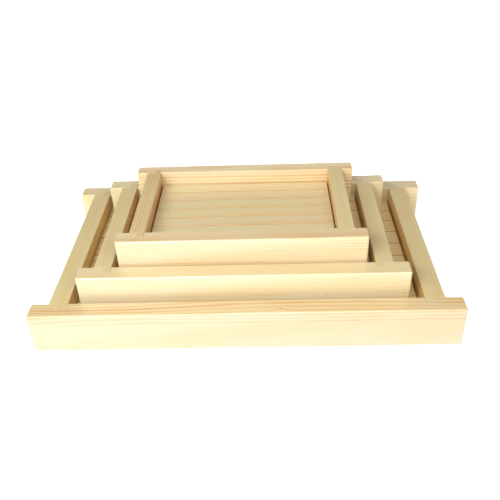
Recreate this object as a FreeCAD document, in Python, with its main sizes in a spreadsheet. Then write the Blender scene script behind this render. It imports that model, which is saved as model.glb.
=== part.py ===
"""Nesting set of three open wooden trays, each with a lift-out slatted floor.

Every tray is a frame of four planed pine rails. The front and back rails run past the side rails,
whose ends are cut to a barefaced tongue that is glued into a housing in the long rail. Ledgers bradded
to the side rails carry the floor: slats laid side by side and tied into one panel by battens below.
The medium tray stands on the floor of the large one, and the small tray on the floor of the medium.

Millimetres, +Z up, +X along the long rails, +Y from the front rail to the back rail.
The origin is on the ground under the middle of the large tray.
"""

import FreeCAD, Part

import os

import Sketcher

OUT = "parts"
NEAR = 1e-4

doc = FreeCAD.newDocument("nesting_trays")

# ---------------------------------------------------------------- driving dimensions

SHARED = {
    "outer_round": 2,
    "inner_round": 0.7,
    "slat_thick": 8,
    "slat_gap": 1.3,
    "slat_round": 0.7,
    "floor_edge_gap": 1,
    "batten_wide": 16,
    "batten_thick": 9,
    "batten_inset": 42,
    "batten_short": 6,
    "ledger_wide": 10,
    "ledger_high": 10,
    "ledger_play": 0.5,
    "strip_round": 1,
    "brad_shank_radius": 0.6,
    "brad_head_radius": 1.1,
    "brad_head_thick": 0.7,
    "brad_proud": 0.2,
    "brad_point": 2,
    "floor_brad_long": 14,
    "ledger_brad_long": 18,
    "ledger_brad_margin": 20,
}

# Length and depth over all, height of the rails, thickness of the long and side rails, and how far the
# long rails run past the side rails. Then the tongue's thickness and length, the height of the floor's
# top, how much shorter the floor is than its tray and how far it lies off the middle, and last where
# the tray stands in the one below.
TRAYS = {
    "large": {
        "length": 452, "depth": 274, "rail_height": 48, "rail_thick": 21.25, "side_thick": 21,
        "overhang": 18.5, "tongue_thick": 10, "tongue_long": 9.5,
        "floor_top": 29.5, "floor_play": 2.6, "floor_shift": -0.7, "shift_x": 0, "shift_y": 0,
    },
    "medium": {
        "length": 349.5, "depth": 213.5, "rail_height": 45, "rail_thick": 20, "side_thick": 19,
        "overhang": 16, "tongue_thick": 9, "tongue_long": 9,
        "floor_top": 30, "floor_play": 3.2, "floor_shift": -1, "shift_x": -1.9, "shift_y": -1.6,
    },
    "small": {
        "length": 264.5, "depth": 171, "rail_height": 45, "rail_thick": 18.25, "side_thick": 16.75,
        "overhang": 13, "tongue_thick": 8, "tongue_long": 8,
        "floor_top": 27.75, "floor_play": 2.6, "floor_shift": 0, "shift_x": -0.6, "shift_y": 0.75,
    },
}

SLATS = {"large": 9, "medium": 8, "small": 7}
BATTENS = {"large": 3, "medium": 2, "small": 2}
LEDGER_BRADS = {"large": 4, "medium": 3, "small": 3}

sheet = doc.addObject("Spreadsheet::Sheet", "Dims")
rows = list(SHARED.items())
for tray, column in TRAYS.items():
    rows += [(f"{tray}_{name}", value) for name, value in column.items()]
for row, (name, value) in enumerate(rows, start=1):
    sheet.set(f"A{row}", name)
    sheet.set(f"B{row}", str(value))
    sheet.setAlias(f"B{row}", name)
doc.recompute()


class Dim:
    """A length that knows both its number and how an expression spells it."""

    def __init__(self, number, text):
        self.number = number
        self.text = text

    def __add__(self, other):
        return Dim(self.number + other.number, f"({self.text} + {other.text})")

    def __sub__(self, other):
        return Dim(self.number - other.number, f"({self.text} - {other.text})")

    def __neg__(self):
        return self * -1

    def __mul__(self, factor):
        return Dim(self.number * factor, f"({self.text} * {factor})")

    def __truediv__(self, divisor):
        return Dim(self.number / divisor, f"({self.text} / {divisor})")


ZERO = Dim(0.0, "0")


def dim(alias):
    """The length held by one cell of the sheet."""
    return Dim(float(getattr(sheet, alias)), f"Dims.{alias}")


# ---------------------------------------------------------------- sketches and features


def new_body(label):
    body = doc.addObject("PartDesign::Body", label)
    body.Label = label
    return body


def place(body, x, y, z, turn=0):
    """Puts a body at (x, y, z), turned about Z by a number of degrees, and binds the place to the sheet."""
    rotation = FreeCAD.Rotation(FreeCAD.Vector(0, 0, 1), turn)
    body.Placement = FreeCAD.Placement(FreeCAD.Vector(x.number, y.number, z.number), rotation)
    for axis, value in (("x", x), ("y", y), ("z", z)):
        body.setExpression(f"Placement.Base.{axis}", value.text)


def new_sketch(body, name, plane_role="XY_Plane"):
    """An empty sketch on one of the body's own origin planes."""
    sketch = body.newObject("Sketcher::SketchObject", name)
    plane = next(feature for feature in body.Origin.OriginFeatures if feature.Role == plane_role)
    sketch.AttachmentSupport = [(plane, "")]
    sketch.MapMode = "FlatFace"
    return sketch


def draw_lines(sketch, points):
    """Draws a closed outline through the points and returns the number of its first line."""
    first = sketch.GeometryCount
    count = len(points)
    corners = [FreeCAD.Vector(x.number, y.number, 0) for x, y in points]
    for i in range(count):
        sketch.addGeometry(Part.LineSegment(corners[i], corners[(i + 1) % count]), False)
    for i in range(count):
        joined = (first + i, 2, first + (i + 1) % count, 1)
        sketch.addConstraint(Sketcher.Constraint("Coincident", *joined))
    return first


def bind(sketch, kind, line, value):
    """Binds the distance from the sketch's origin to the start of a line."""
    number = sketch.addConstraint(Sketcher.Constraint(kind, -1, 1, line, 1, value.number))
    sketch.setExpression(f"Constraints[{number}]", value.text)


def draw_square_outline(sketch, points):
    """Draws an outline whose lines are all level or upright, each bound by its one free distance."""
    first = draw_lines(sketch, points)
    for i, (x, y) in enumerate(points):
        next_y = points[(i + 1) % len(points)][1]
        if abs(next_y.number - y.number) < NEAR:
            sketch.addConstraint(Sketcher.Constraint("Horizontal", first + i))
            bind(sketch, "DistanceY", first + i, y)
        else:
            sketch.addConstraint(Sketcher.Constraint("Vertical", first + i))
            bind(sketch, "DistanceX", first + i, x)


def draw_free_outline(sketch, points):
    """Draws an outline with slanted lines, bound at every corner."""
    first = draw_lines(sketch, points)
    for i, (x, y) in enumerate(points):
        bind(sketch, "DistanceX", first + i, x)
        bind(sketch, "DistanceY", first + i, y)


def rectangle(x0, y0, x1, y1):
    return [(x0, y0), (x1, y0), (x1, y1), (x0, y1)]


def pad(body, sketch, length):
    feature = body.newObject("PartDesign::Pad", "Pad")
    feature.Profile = sketch
    feature.setExpression("Length", length.text)
    doc.recompute()
    return feature


def pocket_up(body, sketch, length):
    """Cuts upwards from the body's XY plane, and makes sure that it cut something."""
    before = body.Shape.Volume
    feature = body.newObject("PartDesign::Pocket", "Pocket")
    feature.Profile = sketch
    feature.Reversed = True
    feature.setExpression("Length", length.text)
    doc.recompute()
    if body.Shape.Volume > before - 1:
        raise RuntimeError(f"{body.Label}: the pocket cut nothing")


def edges_where(shape, test):
    """Names of the edges whose two ends pass the test."""
    names = []
    for number, edge in enumerate(shape.Edges, start=1):
        if len(edge.Vertexes) == 2 and test(edge.Vertexes[0].Point, edge.Vertexes[1].Point):
            names.append(f"Edge{number}")
    return names


def round_edges(body, radius, test):
    feature = body.newObject("PartDesign::Fillet", "Arrises")
    base = body.Group[-2]
    feature.Base = (base, edges_where(base.Shape, test))
    feature.Radius = radius.number
    feature.setExpression("Radius", radius.text)
    doc.recompute()


# ---------------------------------------------------------------- one board of each kind


def both_at(a, b, axis, value):
    """Whether both ends of an edge lie at one value along an axis (0, 1 or 2)."""
    return abs(a[axis] - value) < NEAR and abs(b[axis] - value) < NEAR


def along(a, b, axis):
    """Whether an edge runs along an axis (0, 1 or 2)."""
    return all(abs(a[other] - b[other]) < NEAR for other in range(3) if other != axis)


def make_long_rail(label, tray):
    """A front rail: outer face at y = 0, inner face at y = thickness, centred on x = 0."""
    length = dim(f"{tray}_length")
    thick = dim(f"{tray}_rail_thick")
    tongue_thick = dim(f"{tray}_tongue_thick")
    tongue_long = dim(f"{tray}_tongue_long")
    height = dim(f"{tray}_rail_height")
    inner_x = length / 2 - dim(f"{tray}_overhang") - dim(f"{tray}_side_thick")
    end_x = length / 2

    body = new_body(label)
    plan = new_sketch(body, "Plan")
    draw_square_outline(plan, rectangle(-end_x, ZERO, end_x, thick))
    pad(body, plan, height)

    housings = new_sketch(body, "Housings")
    floor_y = thick - tongue_long
    past_y = thick + tongue_long
    draw_square_outline(housings, rectangle(inner_x, floor_y, inner_x + tongue_thick, past_y))
    draw_square_outline(housings, rectangle(-inner_x - tongue_thick, floor_y, -inner_x, past_y))
    pocket_up(body, housings, height)

    round_edges(body, dim("outer_round"), lambda a, b: both_at(a, b, 1, 0))

    def is_inner_or_end(a, b):
        at_end = abs(abs(a[0]) - end_x.number) < NEAR
        if both_at(a, b, 1, thick.number):
            return along(a, b, 0) or at_end
        return along(a, b, 1) and at_end

    round_edges(body, dim("inner_round"), is_inner_or_end)
    return body


def make_side_rail(label, tray):
    """A left rail: outer face at x = 0, inner face at x = thickness, centred on y = 0."""
    thick = dim(f"{tray}_side_thick")
    height = dim(f"{tray}_rail_height")
    shoulder_x = thick - dim(f"{tray}_tongue_thick")
    shoulder_y = dim(f"{tray}_depth") / 2 - dim(f"{tray}_rail_thick")
    tip_y = shoulder_y + dim(f"{tray}_tongue_long")

    body = new_body(label)
    plan = new_sketch(body, "Plan")
    outline = [
        (ZERO, -shoulder_y), (shoulder_x, -shoulder_y), (shoulder_x, -tip_y), (thick, -tip_y),
        (thick, tip_y), (shoulder_x, tip_y), (shoulder_x, shoulder_y), (ZERO, shoulder_y),
    ]
    draw_square_outline(plan, outline)
    pad(body, plan, height)
    faces = (0, thick.number)
    round_edges(
        body,
        dim("inner_round"),
        lambda a, b: along(a, b, 1) and any(both_at(a, b, 0, face) for face in faces),
    )
    return body


def make_slat(label, long, wide):
    """A floor slat centred on the origin, its underside at z = 0."""
    body = new_body(label)
    plan = new_sketch(body, "Plan")
    draw_square_outline(plan, rectangle(-long / 2, -wide / 2, long / 2, wide / 2))
    thick = dim("slat_thick")
    pad(body, plan, thick)
    top = thick.number
    round_edges(body, dim("slat_round"), lambda a, b: both_at(a, b, 2, top))
    return body


def make_strip(label, wide, long, high):
    """A batten or ledger that runs along Y, centred on the origin, its underside at z = 0."""
    body = new_body(label)
    plan = new_sketch(body, "Plan")
    draw_square_outline(plan, rectangle(-wide / 2, -long / 2, wide / 2, long / 2))
    pad(body, plan, high)
    round_edges(body, dim("strip_round"), lambda a, b: along(a, b, 1) and both_at(a, b, 2, 0))
    return body


# ---------------------------------------------------------------- brads, grouped by what they hold


def origin_part(body, role):
    """One of the body's own origin planes or axes."""
    return next(feature for feature in body.Origin.OriginFeatures if feature.Role == role)


def brad_profile(long):
    """Half a brad as (distance from the wood's face, radius): the head stands proud of the face."""
    shank = dim("brad_shank_radius")
    head = dim("brad_head_radius")
    face = -dim("brad_proud")
    under_head = face + dim("brad_head_thick")
    shoulder = long - dim("brad_point")
    return [
        (face, ZERO), (face, head), (under_head, head),
        (under_head, shank), (shoulder, shank), (long, ZERO),
    ]


def revolve(body, sketch, axis_name):
    feature = body.newObject("PartDesign::Revolution", "Brad")
    feature.Profile = sketch
    feature.ReferenceAxis = (sketch, [axis_name])
    feature.Angle = 360
    body.Tip = feature
    doc.recompute()


def repeat(body, axis_role, step, count):
    """Repeats the whole body count times, one step apart, along one of its own axes."""
    feature = body.newObject("PartDesign::LinearPattern", "Row")
    feature.TransformMode = "Whole shape"
    feature.Direction = (origin_part(body, axis_role), [""])
    feature.Mode = "Spacing"
    feature.Occurrences = count
    feature.Offset = step.number
    feature.setExpression("Offset", step.text)
    body.Tip = feature
    doc.recompute()


def mirror(body, plane_role):
    feature = body.newObject("PartDesign::Mirrored", "Other_side")
    feature.TransformMode = "Whole shape"
    feature.MirrorPlane = (origin_part(body, plane_role), [""])
    body.Tip = feature
    doc.recompute()


def make_floor_brads(label, row_step, rows_of, batten_step, battens):
    """Upright brads, heads down: a row along Y under every batten, the first brad at the origin."""
    body = new_body(label)
    profile = new_sketch(body, "Profile", "XZ_Plane")
    draw_free_outline(profile, [(radius, up) for up, radius in brad_profile(dim("floor_brad_long"))])
    revolve(body, profile, "V_Axis")
    repeat(body, "Y_Axis", row_step, rows_of)
    repeat(body, "X_Axis", batten_step, battens)
    return body


def make_ledger_brads(label, face_x, row_step, rows_of):
    """Level brads driven outwards through both ledgers, the first of each row at y = 0."""
    body = new_body(label)
    profile = new_sketch(body, "Profile", "XY_Plane")
    outline = brad_profile(dim("ledger_brad_long"))
    draw_free_outline(profile, [(face_x + out, radius) for out, radius in outline])
    revolve(body, profile, "H_Axis")
    repeat(body, "Y_Axis", row_step, rows_of)
    mirror(body, "YZ_Plane")
    return body


# ---------------------------------------------------------------- one tray


def build_frame(tray, x, y, z):
    """The four rails of a tray whose middle stands at (x, y, z)."""
    half_depth = dim(f"{tray}_depth") / 2
    side_x = dim(f"{tray}_length") / 2 - dim(f"{tray}_overhang")
    place(make_long_rail(f"{tray}_front_rail", tray), x, y - half_depth, z)
    place(make_long_rail(f"{tray}_back_rail", tray), x, y + half_depth, z, turn=180)
    place(make_side_rail(f"{tray}_left_rail", tray), x - side_x, y, z)
    place(make_side_rail(f"{tray}_right_rail", tray), x + side_x, y, z, turn=180)


def build_floor(tray, x, y, z):
    """The slatted panel of a tray, and the ledgers that carry it."""
    inside_long = dim(f"{tray}_length") - dim(f"{tray}_overhang") * 2 - dim(f"{tray}_side_thick") * 2
    inside_deep = dim(f"{tray}_depth") - dim(f"{tray}_rail_thick") * 2
    floor_x = x + dim(f"{tray}_floor_shift")
    slats = SLATS[tray]
    battens = BATTENS[tray]
    edge_gap = dim("floor_edge_gap")
    slat_gap = dim("slat_gap")

    slat_long = inside_long - dim(f"{tray}_floor_play")
    pitch = (inside_deep - edge_gap * 2 + slat_gap) / slats
    slat_wide = pitch - slat_gap
    slat_z = z + dim(f"{tray}_floor_top") - dim("slat_thick")
    first_y = y - inside_deep / 2 + edge_gap + slat_wide / 2
    for i in range(slats):
        slat = make_slat(f"{tray}_slat_{i + 1}", slat_long, slat_wide)
        place(slat, floor_x, first_y + pitch * i, slat_z)

    batten_long = inside_deep - edge_gap * 2 - dim("batten_short") * 2
    batten_x = slat_long / 2 - dim("batten_inset")
    batten_step = batten_x * 2 / (battens - 1)
    batten_z = slat_z - dim("batten_thick")
    for i in range(battens):
        batten = make_strip(f"{tray}_batten_{i + 1}", dim("batten_wide"), batten_long, dim("batten_thick"))
        place(batten, floor_x - batten_x + batten_step * i, y, batten_z)
    brads = make_floor_brads(f"{tray}_floor_brads", pitch, slats, batten_step, battens)
    place(brads, floor_x - batten_x, first_y, batten_z)

    ledger_wide = dim("ledger_wide")
    ledger_high = dim("ledger_high")
    ledger_long = inside_deep - dim("ledger_play") * 2
    ledger_x = inside_long / 2 - ledger_wide / 2
    ledger_z = slat_z - ledger_high
    left = make_strip(f"{tray}_left_ledger", ledger_wide, ledger_long, ledger_high)
    place(left, x - ledger_x, y, ledger_z)
    right = make_strip(f"{tray}_right_ledger", ledger_wide, ledger_long, ledger_high)
    place(right, x + ledger_x, y, ledger_z)
    row_long = ledger_long - dim("ledger_brad_margin") * 2
    row_step = row_long / (LEDGER_BRADS[tray] - 1)
    face_x = inside_long / 2 - ledger_wide
    pins = make_ledger_brads(f"{tray}_ledger_brads", face_x, row_step, LEDGER_BRADS[tray])
    place(pins, x, y - row_long / 2, ledger_z + ledger_high / 2)


stand_x = ZERO
stand_y = ZERO
stand_z = ZERO
for tray in TRAYS:
    stand_x = stand_x + dim(f"{tray}_shift_x")
    stand_y = stand_y + dim(f"{tray}_shift_y")
    build_frame(tray, stand_x, stand_y, stand_z)
    build_floor(tray, stand_x, stand_y, stand_z)
    stand_z = stand_z + dim(f"{tray}_floor_top")

# ---------------------------------------------------------------- checks and export

doc.recompute()
for feature in doc.Objects:
    if "Invalid" in feature.State or "Error" in feature.State:
        raise RuntimeError(f"{feature.Label} failed: {feature.State}")

os.makedirs(OUT, exist_ok=True)
for body in doc.findObjects("PartDesign::Body"):
    if body.Shape.isNull() or not body.Shape.isValid():
        raise RuntimeError(f"{body.Label} has no valid shape")
    body.Shape.exportStep(f"{OUT}/{body.Label}.step")
    print(body.Label, len(body.Shape.Solids), round(body.Shape.Volume))
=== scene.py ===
"""Nesting set of three pine trays with slatted floors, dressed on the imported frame. Lengths in metres."""

import math
import random

import bpy
from mathutils import Matrix, Vector


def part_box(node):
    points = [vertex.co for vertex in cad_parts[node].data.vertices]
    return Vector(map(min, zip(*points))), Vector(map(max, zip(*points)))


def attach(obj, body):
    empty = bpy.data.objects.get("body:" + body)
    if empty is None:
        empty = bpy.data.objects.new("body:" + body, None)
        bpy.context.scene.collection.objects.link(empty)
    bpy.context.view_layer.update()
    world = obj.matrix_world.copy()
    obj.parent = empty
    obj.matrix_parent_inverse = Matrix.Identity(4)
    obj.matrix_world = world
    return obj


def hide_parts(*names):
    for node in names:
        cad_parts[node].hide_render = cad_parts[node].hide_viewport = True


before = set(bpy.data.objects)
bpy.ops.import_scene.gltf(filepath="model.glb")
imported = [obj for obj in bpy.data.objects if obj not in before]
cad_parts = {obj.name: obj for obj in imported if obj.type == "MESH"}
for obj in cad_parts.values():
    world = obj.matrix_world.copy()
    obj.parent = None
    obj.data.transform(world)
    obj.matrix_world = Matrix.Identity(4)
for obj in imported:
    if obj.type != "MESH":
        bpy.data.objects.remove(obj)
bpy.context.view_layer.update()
bpy.ops.object.select_all(action="DESELECT")

# ---------------------------------------------------------------- camera
# A normal lens looks down on the set from the front, a little right of the middle and slightly turned.

camera_data = bpy.data.cameras.new("camera")
camera_data.sensor_width = 36
camera_data.lens = 46.72
camera = bpy.data.objects.new("camera", camera_data)
bpy.context.scene.collection.objects.link(camera)
pitch = math.radians(34.44)
yaw = math.radians(2.22)
roll = math.radians(2.43)
turn = Matrix.Rotation(yaw, 3, "Z")
turn = turn @ Matrix.Rotation(math.pi / 2 - pitch, 3, "X")
turn = turn @ Matrix.Rotation(-roll, 3, "Z")
camera.location = (0.0280, -0.6441, 0.4743)
camera.rotation_euler = turn.to_euler()
bpy.context.scene.camera = camera

# ---------------------------------------------------------------- floor and light
# A pale studio floor that runs on past the view. A strip light stands at the front left and a wide one
# high in front. Weaker ones fill in from low at the left, the right and the back, in an even white room.

bpy.context.scene.view_settings.view_transform = "Standard"
bpy.context.scene.view_settings.look = "None"

bpy.ops.mesh.primitive_plane_add(size=12, location=(0, 0, 0))
floor = bpy.context.object
floor.name = "studio_floor"

paper = bpy.data.materials.new("pale_paper")
paper.use_nodes = True
paper_shader = paper.node_tree.nodes["Principled BSDF"]
paper_shader.inputs["Base Color"].default_value = (0.86, 0.86, 0.85, 1)
paper_shader.inputs["Roughness"].default_value = 0.9
paper_shader.inputs["Emission Color"].default_value = (1, 1, 1, 1)
paper_shader.inputs["Emission Strength"].default_value = 0.42
floor.data.materials.append(paper)

MIDDLE_OF_TRAYS = (0, 0, 0.04)


def soft_light(name, place, wide, high, watts, colour=(1, 1, 1)):
    """A rectangular light that is aimed at the trays."""
    lamp = bpy.data.lights.new(name, "AREA")
    lamp.shape = "RECTANGLE"
    lamp.size = wide
    lamp.size_y = high
    lamp.energy = watts
    lamp.color = colour
    holder = bpy.data.objects.new(name, lamp)
    bpy.context.scene.collection.objects.link(holder)
    holder.location = place
    aim = Vector(MIDDLE_OF_TRAYS) - Vector(place)
    holder.rotation_euler = aim.to_track_quat("-Z", "Y").to_euler()


soft_light("key_light", (-0.72, -1.0, 0.95), 1.1, 0.4, 21, (0.97, 1.0, 1.0))
soft_light("high_front_light", (0, -1.15, 1.1), 1.6, 0.4, 33, (1.0, 0.985, 0.94))
soft_light("low_left_light", (-1.0, -1.5, 0.45), 1.2, 0.6, 7, (0.82, 0.94, 1.0))
soft_light("right_light", (1.1, -0.9, 1.0), 1.2, 1.0, 4)
soft_light("low_back_light", (0, 1.6, 0.14), 0.9, 0.24, 9)

world = bpy.data.worlds.new("even_light")
bpy.context.scene.world = world
world.use_nodes = True
room = world.node_tree.nodes["Background"]
room.inputs["Color"].default_value = (1, 1, 1, 1)
room.inputs["Strength"].default_value = 0.36

# ---------------------------------------------------------------- front and back rails
# Long pine rails, planed square. A housing is cut across the inner face near each end for the side
# rail's tongue. The outer arrises are rounded for the hand and the others only eased.

MM = 0.001

# Every board is the same planed, unfinished pine. Its growth rings are laid round its own pith, so that
# faces, edges and ends agree: pale early wood that darkens slowly and stops at a sharp line.
EARLY = (0.43, 0.345, 0.20)
LATE = (0.34, 0.175, 0.050)
WARM = (0.417, 0.300, 0.138)
KNOT = (0.30, 0.11, 0.03)
CUT_END = (0.37, 0.245, 0.115)

# How fine each unevenness of the wood is, per millimetre along the board, across it and up.
TRUNK_BEND = (0.006, 0.03, 0.03)
RING_RIPPLE = (0.03, 0.16, 0.16)
RING_FADE = (0.008, 0.05, 0.05)
HONEY_PATCH = (0.007, 0.04, 0.04)
FIBRE = (0.06, 2.4, 2.4)
RESIN_CANAL = (0.09, 1.7, 1.7)

# How far each of them shows in the colour or shifts the rings, from 0 to 1.
RIPPLE_SHIFT = 0.35
RING_DEPTH = 0.62
PATCH_DEPTH = 0.55
FIBRE_DEPTH = 0.16
CANAL_DEPTH = 0.30
KNOT_DEPTH = 0.75
CUT_END_DEPTH = 0.35

# When in its year, from 0 to 1, the growth darkens and stops, and how weakly the faintest year shows.
DARKENING = (0.30, 0.90)
SHARP_STOP = (0.93, 1.0)
FAINTEST_YEAR = 0.35

# A knot is drawn out along the board. Its reach, the swell of the rings round it and its solid core are
# in its own radii.
KNOT_STRETCH = (0.45, 1, 1)
KNOT_REACH = 5
KNOT_SWELL = 1.6
KNOT_CORE = 0.35

SHEEN = 0.8
SHEEN_ROUGHNESS = 0.22
FACE_ROUGHNESS = 0.42
FIBRE_ROUGHNESS = 0.12
CUT_END_ROUGHNESS = 0.25
RELIEF_STRENGTH = 0.25
RELIEF_HEIGHT = 0.15 * MM


class Graph:
    """Short ways to add the nodes of one material."""

    def __init__(self, material):
        material.use_nodes = True
        self.tree = material.node_tree
        self.shader = self.tree.nodes["Principled BSDF"]

    def feed(self, socket, value):
        if isinstance(value, bpy.types.NodeSocket):
            self.tree.links.new(value, socket)
        else:
            socket.default_value = value

    def maths(self, operation, *values):
        node = self.tree.nodes.new("ShaderNodeMath")
        node.operation = operation
        for socket, value in zip(node.inputs, values):
            self.feed(socket, value)
        return node.outputs[0]

    def vector(self, operation, *values):
        node = self.tree.nodes.new("ShaderNodeVectorMath")
        node.operation = operation
        for socket, value in zip(node.inputs, values):
            self.feed(socket, value)
        return node.outputs["Value"] if operation in ("LENGTH", "DOT_PRODUCT") else node.outputs["Vector"]

    def noise(self, position, stretch, detail=2.0):
        """Soft noise from 0 to 1; stretch is how fine it is along, across and up."""
        node = self.tree.nodes.new("ShaderNodeTexNoise")
        node.inputs["Scale"].default_value = 1
        node.inputs["Detail"].default_value = detail
        self.feed(node.inputs["Vector"], self.vector("MULTIPLY", position, stretch))
        return node

    def ease(self, value, low, high, out_low=0.0, out_high=1.0):
        """Runs smoothly from one value to another as the input goes from low to high."""
        node = self.tree.nodes.new("ShaderNodeMapRange")
        node.interpolation_type = "SMOOTHSTEP"
        self.feed(node.inputs["Value"], value)
        node.inputs["From Min"].default_value = low
        node.inputs["From Max"].default_value = high
        node.inputs["To Min"].default_value = out_low
        node.inputs["To Max"].default_value = out_high
        return node.outputs["Result"]

    def mix(self, amount, a, b):
        node = self.tree.nodes.new("ShaderNodeMix")
        node.data_type = "RGBA"
        self.feed(node.inputs["Factor"], amount)
        for name, value in (("A", a), ("B", b)):
            socket = next(s for s in node.inputs if s.name == name and s.type == "RGBA")
            self.feed(socket, value if isinstance(value, bpy.types.NodeSocket) else (*value, 1))
        return next(s for s in node.outputs if s.type == "RGBA")


def pine(
    name, centre, grain, pith, ring, lean=(0, 0), sweep=(0, 0), wander=3.0, contrast=1.0,
    marked=(0, 1, 1, 1), knots=(), tint=(1, 1, 1), face=None, face_tint=(1, 1, 1),
):
    """A pine material for one board.

    grain is the axis that the board runs along, "X" or "Y". pith is where the heart of the trunk lay,
    (across, up) from the board's middle in millimetres. ring is the width of a year's growth. lean tips
    the trunk against the board in degrees, sweep bows it by so many millimetres at 200 from the middle,
    and wander is how far it strays. contrast is how strongly the years show, and marked is (low, high,
    strength at low, strength at high), for a board that shows them more at its top or at its bottom.
    Each knot is (along, across, up, radius, axis), its axis the one that the branch ran along.
    tint is the board's own tone. The tint for the one face that looks in the direction face is painted
    light and shade: that face is drawn paler where it is brightly lit, or darker and warmer in shade.
    """
    material = bpy.data.materials.new(name)
    graph = Graph(material)

    place = graph.tree.nodes.new("ShaderNodeMapping")
    place.vector_type = "TEXTURE"
    place.inputs["Location"].default_value = centre
    place.inputs["Rotation"].default_value = (0, 0, math.pi / 2 if grain == "Y" else 0)
    place.inputs["Scale"].default_value = (MM, MM, MM)
    source = graph.tree.nodes.new("ShaderNodeTexCoord")
    graph.feed(place.inputs["Vector"], source.outputs["Object"])
    board = place.outputs["Vector"]

    trunk = graph.tree.nodes.new("ShaderNodeMapping")
    trunk.vector_type = "TEXTURE"
    trunk.inputs["Location"].default_value = (0, pith[0], pith[1])
    trunk.inputs["Rotation"].default_value = (0, math.radians(lean[1]), math.radians(lean[0]))
    from_middle = graph.vector("DOT_PRODUCT", board, (1 / 200, 0, 0))
    bow = graph.maths("MULTIPLY", from_middle, from_middle)
    bow = graph.vector("MULTIPLY", bow, (0, sweep[0], sweep[1]))
    graph.feed(trunk.inputs["Vector"], graph.vector("SUBTRACT", board, bow))
    grown = trunk.outputs["Vector"]

    bend = graph.noise(grown, TRUNK_BEND).outputs["Color"]
    bend = graph.vector("SUBTRACT", bend, (0.5, 0.5, 0.5))
    grown = graph.vector("ADD", grown, graph.vector("MULTIPLY", bend, (0, 2 * wander, 2 * wander)))
    radius = graph.vector("LENGTH", graph.vector("MULTIPLY", grown, (0, 1, 1)))

    dark_knot = 0.0
    for along, across, up, size, axis in knots:
        flat = {"up": (1, 1, 0), "across": (1, 0, 1)}[axis]
        away = graph.vector("SUBTRACT", board, (along, across, up))
        away = graph.vector("MULTIPLY", away, KNOT_STRETCH)
        away = graph.vector("LENGTH", graph.vector("MULTIPLY", away, flat))
        swell = graph.ease(away, 0, size * KNOT_REACH, size * KNOT_SWELL, 0)
        radius = graph.maths("ADD", radius, swell)
        core = graph.ease(away, size * KNOT_CORE, size, 1, 0)
        dark_knot = graph.maths("MAXIMUM", dark_knot, core)

    years = graph.maths("DIVIDE", radius, ring)
    ripple = graph.noise(board, RING_RIPPLE).outputs[0]
    years = graph.maths("ADD", years, graph.maths("MULTIPLY", ripple, RIPPLE_SHIFT))
    year = graph.maths("FLOOR", years)
    season = graph.maths("FRACT", years)
    lottery = graph.tree.nodes.new("ShaderNodeTexWhiteNoise")
    lottery.noise_dimensions = "1D"
    graph.feed(lottery.inputs["W"], year)
    weight = graph.ease(lottery.outputs["Value"], 0, 1, FAINTEST_YEAR, 1.0)
    darkening = graph.ease(season, *DARKENING)
    sharp_stop = graph.ease(season, *SHARP_STOP, 1, 0)
    late = graph.maths("MULTIPLY", darkening, sharp_stop)
    late = graph.maths("MULTIPLY", late, weight)
    fade = graph.ease(graph.noise(board, RING_FADE, 1).outputs[0], 0.3, 0.7, 0.45, 1.0)
    late = graph.maths("MULTIPLY", late, graph.maths("MULTIPLY", fade, RING_DEPTH * contrast))
    up = graph.vector("DOT_PRODUCT", board, (0, 0, 1))
    late = graph.maths("MULTIPLY", late, graph.ease(up, *marked))

    patch = graph.ease(graph.noise(board, HONEY_PATCH, 1).outputs[0], 0.35, 0.7)
    early = graph.mix(graph.maths("MULTIPLY", patch, PATCH_DEPTH), EARLY, WARM)
    colour = graph.mix(late, early, LATE)
    fibre = graph.noise(board, FIBRE, 3).outputs[0]
    colour = graph.mix(graph.ease(fibre, 0.35, 0.75, 0, FIBRE_DEPTH), colour, WARM)
    canal = graph.noise(board, RESIN_CANAL, 1).outputs[0]
    colour = graph.mix(graph.ease(canal, 0.70, 0.80, 0, CANAL_DEPTH), colour, LATE)
    if knots:
        colour = graph.mix(graph.maths("MULTIPLY", dark_knot, KNOT_DEPTH), colour, KNOT)

    normal = source.outputs["Normal"]
    # Painted light and shade: the face that looks in the direction face is tinted to look lit or shaded.
    if face:
        painted_face_mask = graph.ease(graph.vector("DOT_PRODUCT", normal, face), 0.5, 0.95)
        colour = graph.mix(painted_face_mask, colour, graph.vector("MULTIPLY", colour, face_tint))
    endways = graph.vector("DOT_PRODUCT", normal, (1, 0, 0) if grain == "X" else (0, 1, 0))
    cut_end = graph.ease(graph.maths("ABSOLUTE", endways), 0.85, 1.0)
    colour = graph.mix(graph.maths("MULTIPLY", cut_end, CUT_END_DEPTH), colour, CUT_END)
    graph.feed(graph.shader.inputs["Base Color"], graph.vector("MULTIPLY", colour, tint))

    graph.shader.inputs["Coat Weight"].default_value = SHEEN
    graph.shader.inputs["Coat Roughness"].default_value = SHEEN_ROUGHNESS
    rough = graph.maths("ADD", FACE_ROUGHNESS, graph.maths("MULTIPLY", fibre, FIBRE_ROUGHNESS))
    rough = graph.maths("ADD", rough, graph.maths("MULTIPLY", cut_end, CUT_END_ROUGHNESS))
    graph.feed(graph.shader.inputs["Roughness"], rough)
    relief = graph.maths("ADD", graph.maths("MULTIPLY", fibre, 0.6), graph.maths("MULTIPLY", late, 0.5))
    bump = graph.tree.nodes.new("ShaderNodeBump")
    bump.inputs["Strength"].default_value = RELIEF_STRENGTH
    bump.inputs["Distance"].default_value = RELIEF_HEIGHT
    graph.feed(bump.inputs["Height"], relief)
    graph.feed(graph.shader.inputs["Normal"], bump.outputs["Normal"])
    return material


FRONTWARD = (0, -1, 0)

# The radius of each kind of arris.
OUTER_ROUND = 2.2 * MM
END_ROUND = 1.6 * MM
EASED = 0.7 * MM
SAWN = 0.12 * MM

# How far the saw runs past a piece, and how near two places have to be to count as one.
SAW_PAST = 1 * MM
SAME_PLACE = 0.02 * MM

# How wide and how long the side rails' tongues are.
TONGUE = {"large": (10 * MM, 9.5 * MM), "medium": (9 * MM, 9 * MM), "small": (8 * MM, 8 * MM)}


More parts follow.
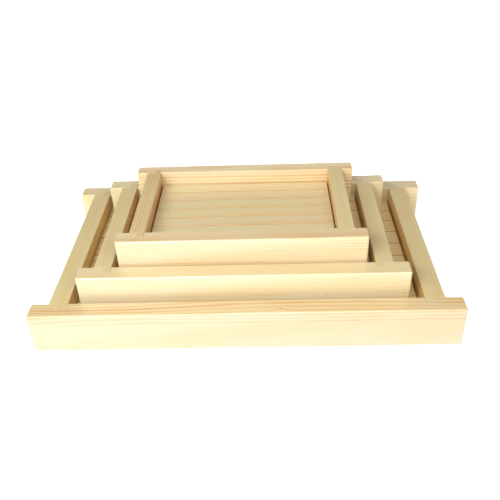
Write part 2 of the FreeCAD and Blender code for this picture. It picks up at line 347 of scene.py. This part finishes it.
def block(name, low, high):
    """A plain block of wood between two corners, its place in its mesh."""
    low = Vector(low)
    high = Vector(high)
    bpy.ops.object.select_all(action="DESELECT")
    bpy.ops.mesh.primitive_cube_add(size=1, location=(low + high) / 2)
    piece = bpy.context.object
    piece.name = name
    piece.data.name = name
    piece.scale = high - low
    bpy.ops.object.transform_apply(location=True, rotation=True, scale=True)
    return piece


def saw_out(piece, low, high):
    """Cuts the space between two corners out of a piece."""
    waste = block("waste", low, high)
    cut = piece.modifiers.new("cut", "BOOLEAN")
    cut.operation = "DIFFERENCE"
    cut.solver = "EXACT"
    cut.object = waste
    bpy.context.view_layer.objects.active = piece
    bpy.ops.object.modifier_apply(modifier=cut.name)
    bpy.data.objects.remove(waste)


def ease_arrises(piece, radius_of, widest, rounds):
    """Rounds every arris, in so many steps, by the radius that radius_of gives for its two ends."""
    mesh = piece.data
    weights = mesh.attributes.new("bevel_weight_edge", "FLOAT", "EDGE")
    for edge in mesh.edges:
        a, b = (mesh.vertices[i].co for i in edge.vertices)
        weights.data[edge.index].value = radius_of(a, b) / widest
    bevel = piece.modifiers.new("arrises", "BEVEL")
    bevel.limit_method = "WEIGHT"
    bevel.width = widest
    bevel.segments = rounds
    bevel.use_clamp_overlap = False
    flow = piece.modifiers.new("flow", "WEIGHTED_NORMAL")
    flow.keep_sharp = True
    bpy.ops.object.select_all(action="DESELECT")
    piece.select_set(True)
    bpy.context.view_layer.objects.active = piece
    bpy.ops.object.shade_smooth()
    for modifier in (bevel, flow):
        bpy.ops.object.modifier_apply(modifier=modifier.name)


def near(a, b):
    return abs(a - b) < SAME_PLACE


def finish_piece(piece, material, body, node):
    """Gives a piece its wood, and puts it on its body in its node's place."""
    piece.data.materials.clear()
    piece.data.materials.append(material)
    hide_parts(node)
    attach(piece, body)


def make_long_rail(tray, side, **grown):
    """A front or back rail with a housing for each side rail's tongue; grown is its own wood."""
    node = f"{tray}_{side}_rail"
    low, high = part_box(node)
    rail = block(f"{node}_wood", low, high)
    tongue_wide, tongue_long = TONGUE[tray]
    inward = 1 if side == "front" else -1
    inner_y = high.y if side == "front" else low.y
    bottom_y = inner_y - inward * tongue_long
    past_y = inner_y + inward * tongue_long
    left_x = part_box(f"{tray}_left_rail")[1].x - tongue_wide
    right_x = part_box(f"{tray}_right_rail")[0].x
    for x in (left_x, right_x):
        y0, y1 = sorted((bottom_y, past_y))
        saw_out(rail, (x, y0, low.z - SAW_PAST), (x + tongue_wide, y1, high.z + SAW_PAST))
    outer_y = low.y if side == "front" else high.y

    def radius_of(a, b):
        if near(a.y, outer_y) and near(b.y, outer_y):
            return OUTER_ROUND
        if near(a.x, b.x) and (near(a.x, low.x) or near(a.x, high.x)):
            return END_ROUND
        if near(a.y, inner_y) and near(b.y, inner_y) and near(a.z, b.z):
            return EASED
        return SAWN

    ease_arrises(rail, radius_of, widest=OUTER_ROUND, rounds=5)
    # The front face carries a painted highlight tint, given with each rail.
    wood = pine(f"{node}_pine", (low + high) / 2, "X", face=FRONTWARD, **grown)
    finish_piece(rail, wood, f"{tray}_frame", node)


# The last tint of each front rail is a painted highlight: the brightly lit front face is drawn paler and
# less yellow, as strong light washes it out.
make_long_rail(
    "large", "front", pith=(50, -50), ring=3.4, lean=(-2.2, 2.6), sweep=(10, 12), wander=1.4, contrast=2.3,
    marked=(7, 22, 0.12, 1.0), knots=[(37, -4, 24, 1.3, "up")],
    tint=(1.01, 0.98, 0.91), face_tint=(0.98, 0.86, 1.03),
)
make_long_rail("large", "back", pith=(-30, 60), ring=2.8, lean=(-0.5, 0.3), tint=(1.05, 1.10, 1.13))
make_long_rail(
    "medium", "front", pith=(40, 52), ring=2.3, lean=(0.2, 0.1), sweep=(1, 1), wander=1.6, contrast=0.95,
    marked=(-2, 8, 1.0, 0.5),
    knots=[(-135, -10, 7, 0.6, "across"), (88, -10, -4, 0.7, "across"), (169, -10, -4, 0.9, "across")],
    tint=(1.0, 1.02, 0.98), face_tint=(1.0, 1.02, 1.17),
)
make_long_rail("medium", "back", pith=(20, 70), ring=2.4, lean=(0.6, -0.2), tint=(1.05, 1.10, 1.14))
make_long_rail(
    "small", "front", pith=(12, -80), ring=3.0, lean=(0.3, 0.2), wander=1.6, contrast=1.2,
    tint=(1.0, 0.985, 0.98), face_tint=(1.0, 0.99, 1.08),
)
make_long_rail(
    "small", "back", pith=(10, -60), ring=4.4, lean=(-0.5, 0.6), contrast=1.8, tint=(1.10, 1.10, 1.13),
)

# ---------------------------------------------------------------- side rails
# Pine rails between the long ones. Each end is cut to a tongue on the inner half of its thickness,
# and the outer half butts against the long rail as a shoulder. The inner faces are painted a deeper,
# warmer gold for the shade and the light that bounces inside the tray.

SIDE_TINT = (0.94, 0.95, 0.84)
# Painted shade: the inner faces, in shade inside the tray, are drawn a deeper, warmer gold.
PAINTED_INNER_SHADE = (1.42, 1.04, 0.58)


def make_side_rail(tray, side, **grown):
    """A left or right rail with a tongue at each end; grown is its own wood."""
    node = f"{tray}_{side}_rail"
    low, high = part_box(node)
    rail = block(f"{node}_wood", low, high)
    tongue_wide, tongue_long = TONGUE[tray]
    outer_x = low.x if side == "left" else high.x
    cheek_x = high.x - tongue_wide if side == "left" else low.x + tongue_wide
    outward = -1 if side == "left" else 1
    x0, x1 = sorted((outer_x + outward * SAW_PAST, cheek_x))
    front_cut = (low.y - SAW_PAST, low.y + tongue_long)
    back_cut = (high.y - tongue_long, high.y + SAW_PAST)
    for y0, y1 in (front_cut, back_cut):
        saw_out(rail, (x0, y0, low.z - SAW_PAST), (x1, y1, high.z + SAW_PAST))

    def radius_of(a, b):
        if near(a.x, b.x) and near(a.z, b.z) and (near(a.x, low.x) or near(a.x, high.x)):
            return EASED
        return SAWN

    ease_arrises(rail, radius_of, widest=EASED, rounds=3)
    # The inner face gets the painted shade.
    wood = pine(
        f"{node}_pine", (low + high) / 2, "Y",
        tint=SIDE_TINT, face=(-outward, 0, 0), face_tint=PAINTED_INNER_SHADE, **grown,
    )
    finish_piece(rail, wood, f"{tray}_frame", node)


make_side_rail("large", "left", pith=(60, 30), ring=2.4, lean=(0.5, 0.4), contrast=0.7)
make_side_rail("large", "right", pith=(-70, 20), ring=2.6, lean=(0.5, -0.3), contrast=0.8)
make_side_rail("medium", "left", pith=(50, -60), ring=2.2, lean=(0.3, 0.6), contrast=0.5)
make_side_rail("medium", "right", pith=(-40, 70), ring=2.2, lean=(-0.3, 0.6), contrast=0.5)
make_side_rail("small", "left", pith=(70, 5), ring=3.2, lean=(0.5, 0.1), wander=0.8, contrast=3.6)
make_side_rail("small", "right", pith=(30, -90), ring=2.6, lean=(0.4, 0.2), contrast=0.6)

# ---------------------------------------------------------------- floor slats
# Thin pine slats laid from side to side with a narrow gap between them. Each is cut from another
# board, so grain and tone change from slat to slat. The edges that face the front, down in the gaps,
# are painted darker for the shade there, and the slats of the lower trays are painted lighter against
# the shade of the trays above.

TRAYS = ("large", "medium", "small")
SLAT_EASED = 0.25 * MM
# Each tray's slat tone, partly painted light: the floors of the lower trays, in the shade of the trays
# above, are drawn lighter.
SLAT_TONE_AND_PAINTED_LIGHT = {"large": (1.26, 1.21, 1.00), "medium": (1.17, 1.08, 0.88), "small": (1.04, 1.05, 1.02)}
# Painted shade: the front-facing edge of each slat, seen down a gap, is drawn darker, and the outermost
# slat's edge only a little darker.
PAINTED_GAP_SHADE = {"large": (0.60, 0.38, 0.22), "medium": (0.60, 0.38, 0.22), "small": (0.88, 0.66, 0.44)}
PAINTED_OUTERMOST_EDGE_SHADE = (0.97, 0.94, 0.88)
KNOTS_IN_SLATS = {"large_slat_5": [(-180, 1, 0, 4, "up")]}


def slats_of(tray):
    """The nodes of one tray's slats, in the order of their names."""
    return sorted(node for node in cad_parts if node.startswith(f"{tray}_slat_"))


def make_slat(node, tray):
    low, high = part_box(node)
    slat = block(f"{node}_wood", low, high)

    def radius_of(a, b):
        if near(a.z, high.z) and near(b.z, high.z):
            return SLAT_EASED
        return SAWN

    ease_arrises(slat, radius_of, widest=SLAT_EASED, rounds=3)
    draw = random.Random(node)
    outermost = near(low.y, min(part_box(other)[0].y for other in slats_of(tray)))
    wood = pine(
        f"{node}_pine",
        (low + high) / 2,
        "X",
        pith=(draw.uniform(-70, 70), draw.choice((-1, 1)) * draw.uniform(15, 70)),
        ring=draw.uniform(2.0, 3.4),
        lean=(draw.uniform(-0.6, 0.6), draw.uniform(-0.6, 0.6)),
        contrast=draw.uniform(0.4, 0.8),
        tint=[level * draw.uniform(0.96, 1.01) for level in SLAT_TONE_AND_PAINTED_LIGHT[tray]],
        # The front-facing edge gets the painted gap shade.
        face=FRONTWARD,
        face_tint=PAINTED_OUTERMOST_EDGE_SHADE if outermost else PAINTED_GAP_SHADE[tray],
        knots=KNOTS_IN_SLATS.get(node, ()),
    )
    finish_piece(slat, wood, f"{tray}_floor", node)


for tray in TRAYS:
    for node in slats_of(tray):
        make_slat(node, tray)

# ---------------------------------------------------------------- battens and ledgers
# Square strips under the floor: battens tie the slats into one panel, and ledgers on the side rails
# carry it. Both are sawn stock, so they are a little darker than the planed boards.

STRIP_TINT = (0.90, 0.88, 0.84)


def make_strip(node, body):
    low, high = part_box(node)
    strip = block(f"{node}_wood", low, high)

    def radius_of(a, b):
        if near(a.z, low.z) and near(b.z, low.z):
            return EASED
        return SAWN

    ease_arrises(strip, radius_of, widest=EASED, rounds=3)
    draw = random.Random(node)
    pith = (draw.uniform(-40, 40), draw.uniform(20, 50))
    wood = pine(f"{node}_pine", (low + high) / 2, "Y", pith=pith, ring=2.8, tint=STRIP_TINT)
    finish_piece(strip, wood, body, node)


for tray in TRAYS:
    for node in sorted(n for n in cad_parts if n.startswith(f"{tray}_batten_")):
        make_strip(node, f"{tray}_floor")
    for side in ("left", "right"):
        make_strip(f"{tray}_{side}_ledger", f"{tray}_frame")

# ---------------------------------------------------------------- brads
# Bright steel brads with flat round heads, driven up through the battens and outwards through the
# ledgers. Their surface is clouded with a little tarnish.

BRIGHT_STEEL = (0.62, 0.62, 0.60)
TARNISHED_STEEL = (0.38, 0.36, 0.33)
TARNISH = (900, 900, 900)

steel = bpy.data.materials.new("brad_steel")
graph = Graph(steel)
graph.shader.inputs["Metallic"].default_value = 1
position = graph.tree.nodes.new("ShaderNodeTexCoord").outputs["Object"]
dull = graph.noise(position, TARNISH, 3).outputs[0]
colour = graph.mix(graph.ease(dull, 0.3, 0.7), BRIGHT_STEEL, TARNISHED_STEEL)
graph.feed(graph.shader.inputs["Base Color"], colour)
graph.feed(graph.shader.inputs["Roughness"], graph.ease(dull, 0.2, 0.8, 0.3, 0.5))
for tray in TRAYS:
    for kind in ("floor_brads", "ledger_brads"):
        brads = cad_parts[f"{tray}_{kind}"]
        brads.data.materials.clear()
        brads.data.materials.append(steel)
